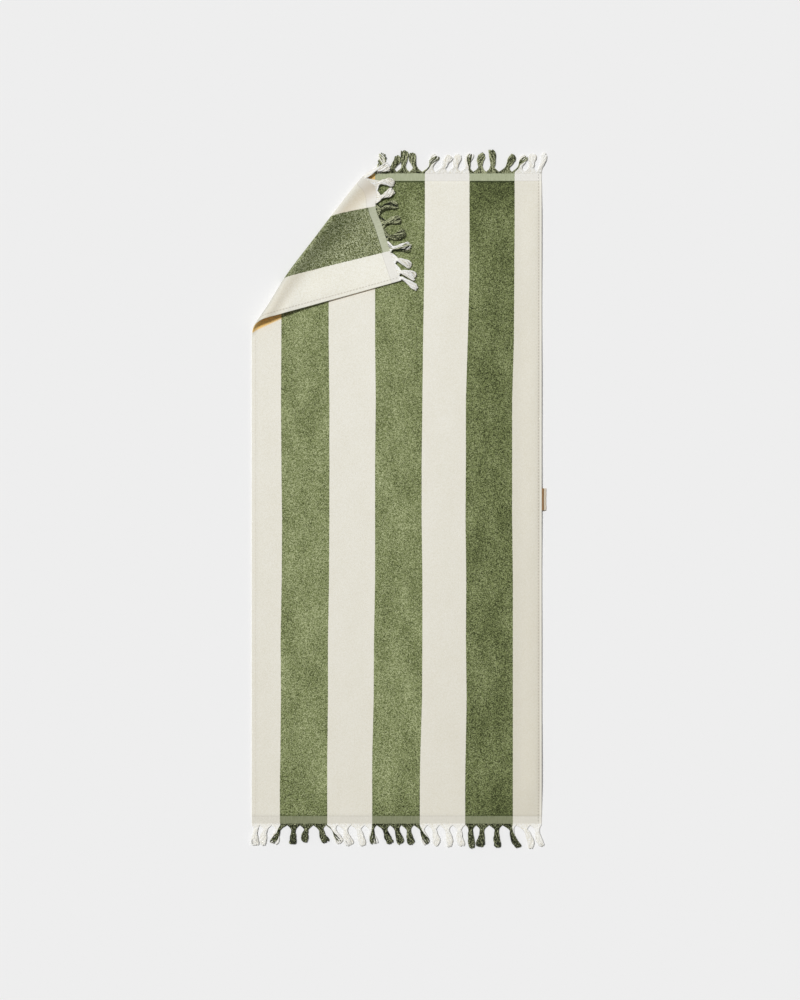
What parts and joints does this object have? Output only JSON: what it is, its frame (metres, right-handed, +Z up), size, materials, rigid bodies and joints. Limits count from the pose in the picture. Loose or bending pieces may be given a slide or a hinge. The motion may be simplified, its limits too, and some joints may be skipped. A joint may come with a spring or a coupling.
{
  "type": "beach towel",
  "caption": "Striped terry beach towel laid flat, front side up, with one corner turned over onto it, flat-woven end hems and a fringe of yarn tassels at each end.",
  "frame": {"origin": "under the middle of the towel, on the surface that it lies on", "axes": "+Z up; +Y along the towel's length, to the end whose corner is turned over; +X across its width, the turned corner being on the -X side"},
  "size_m": [0.8134, 1.9302, 0.03],
  "materials": {
    "cotton_terry": "cotton terry with a cut pile, green and cream stripes",
    "cotton_yarn": "plied cotton yarn, green or cream with the stripe it grows from",
    "cotton_tape": "plain woven cotton tape"
  },
  "bodies": {
    "root": {"towel_cloth": "cotton_terry", "fringe_bottom": "cotton_yarn", "fringe_top": "cotton_yarn", "fringe_turned": "cotton_yarn", "edge_tab": "cotton_tape"}
  },
  "joints": []
}
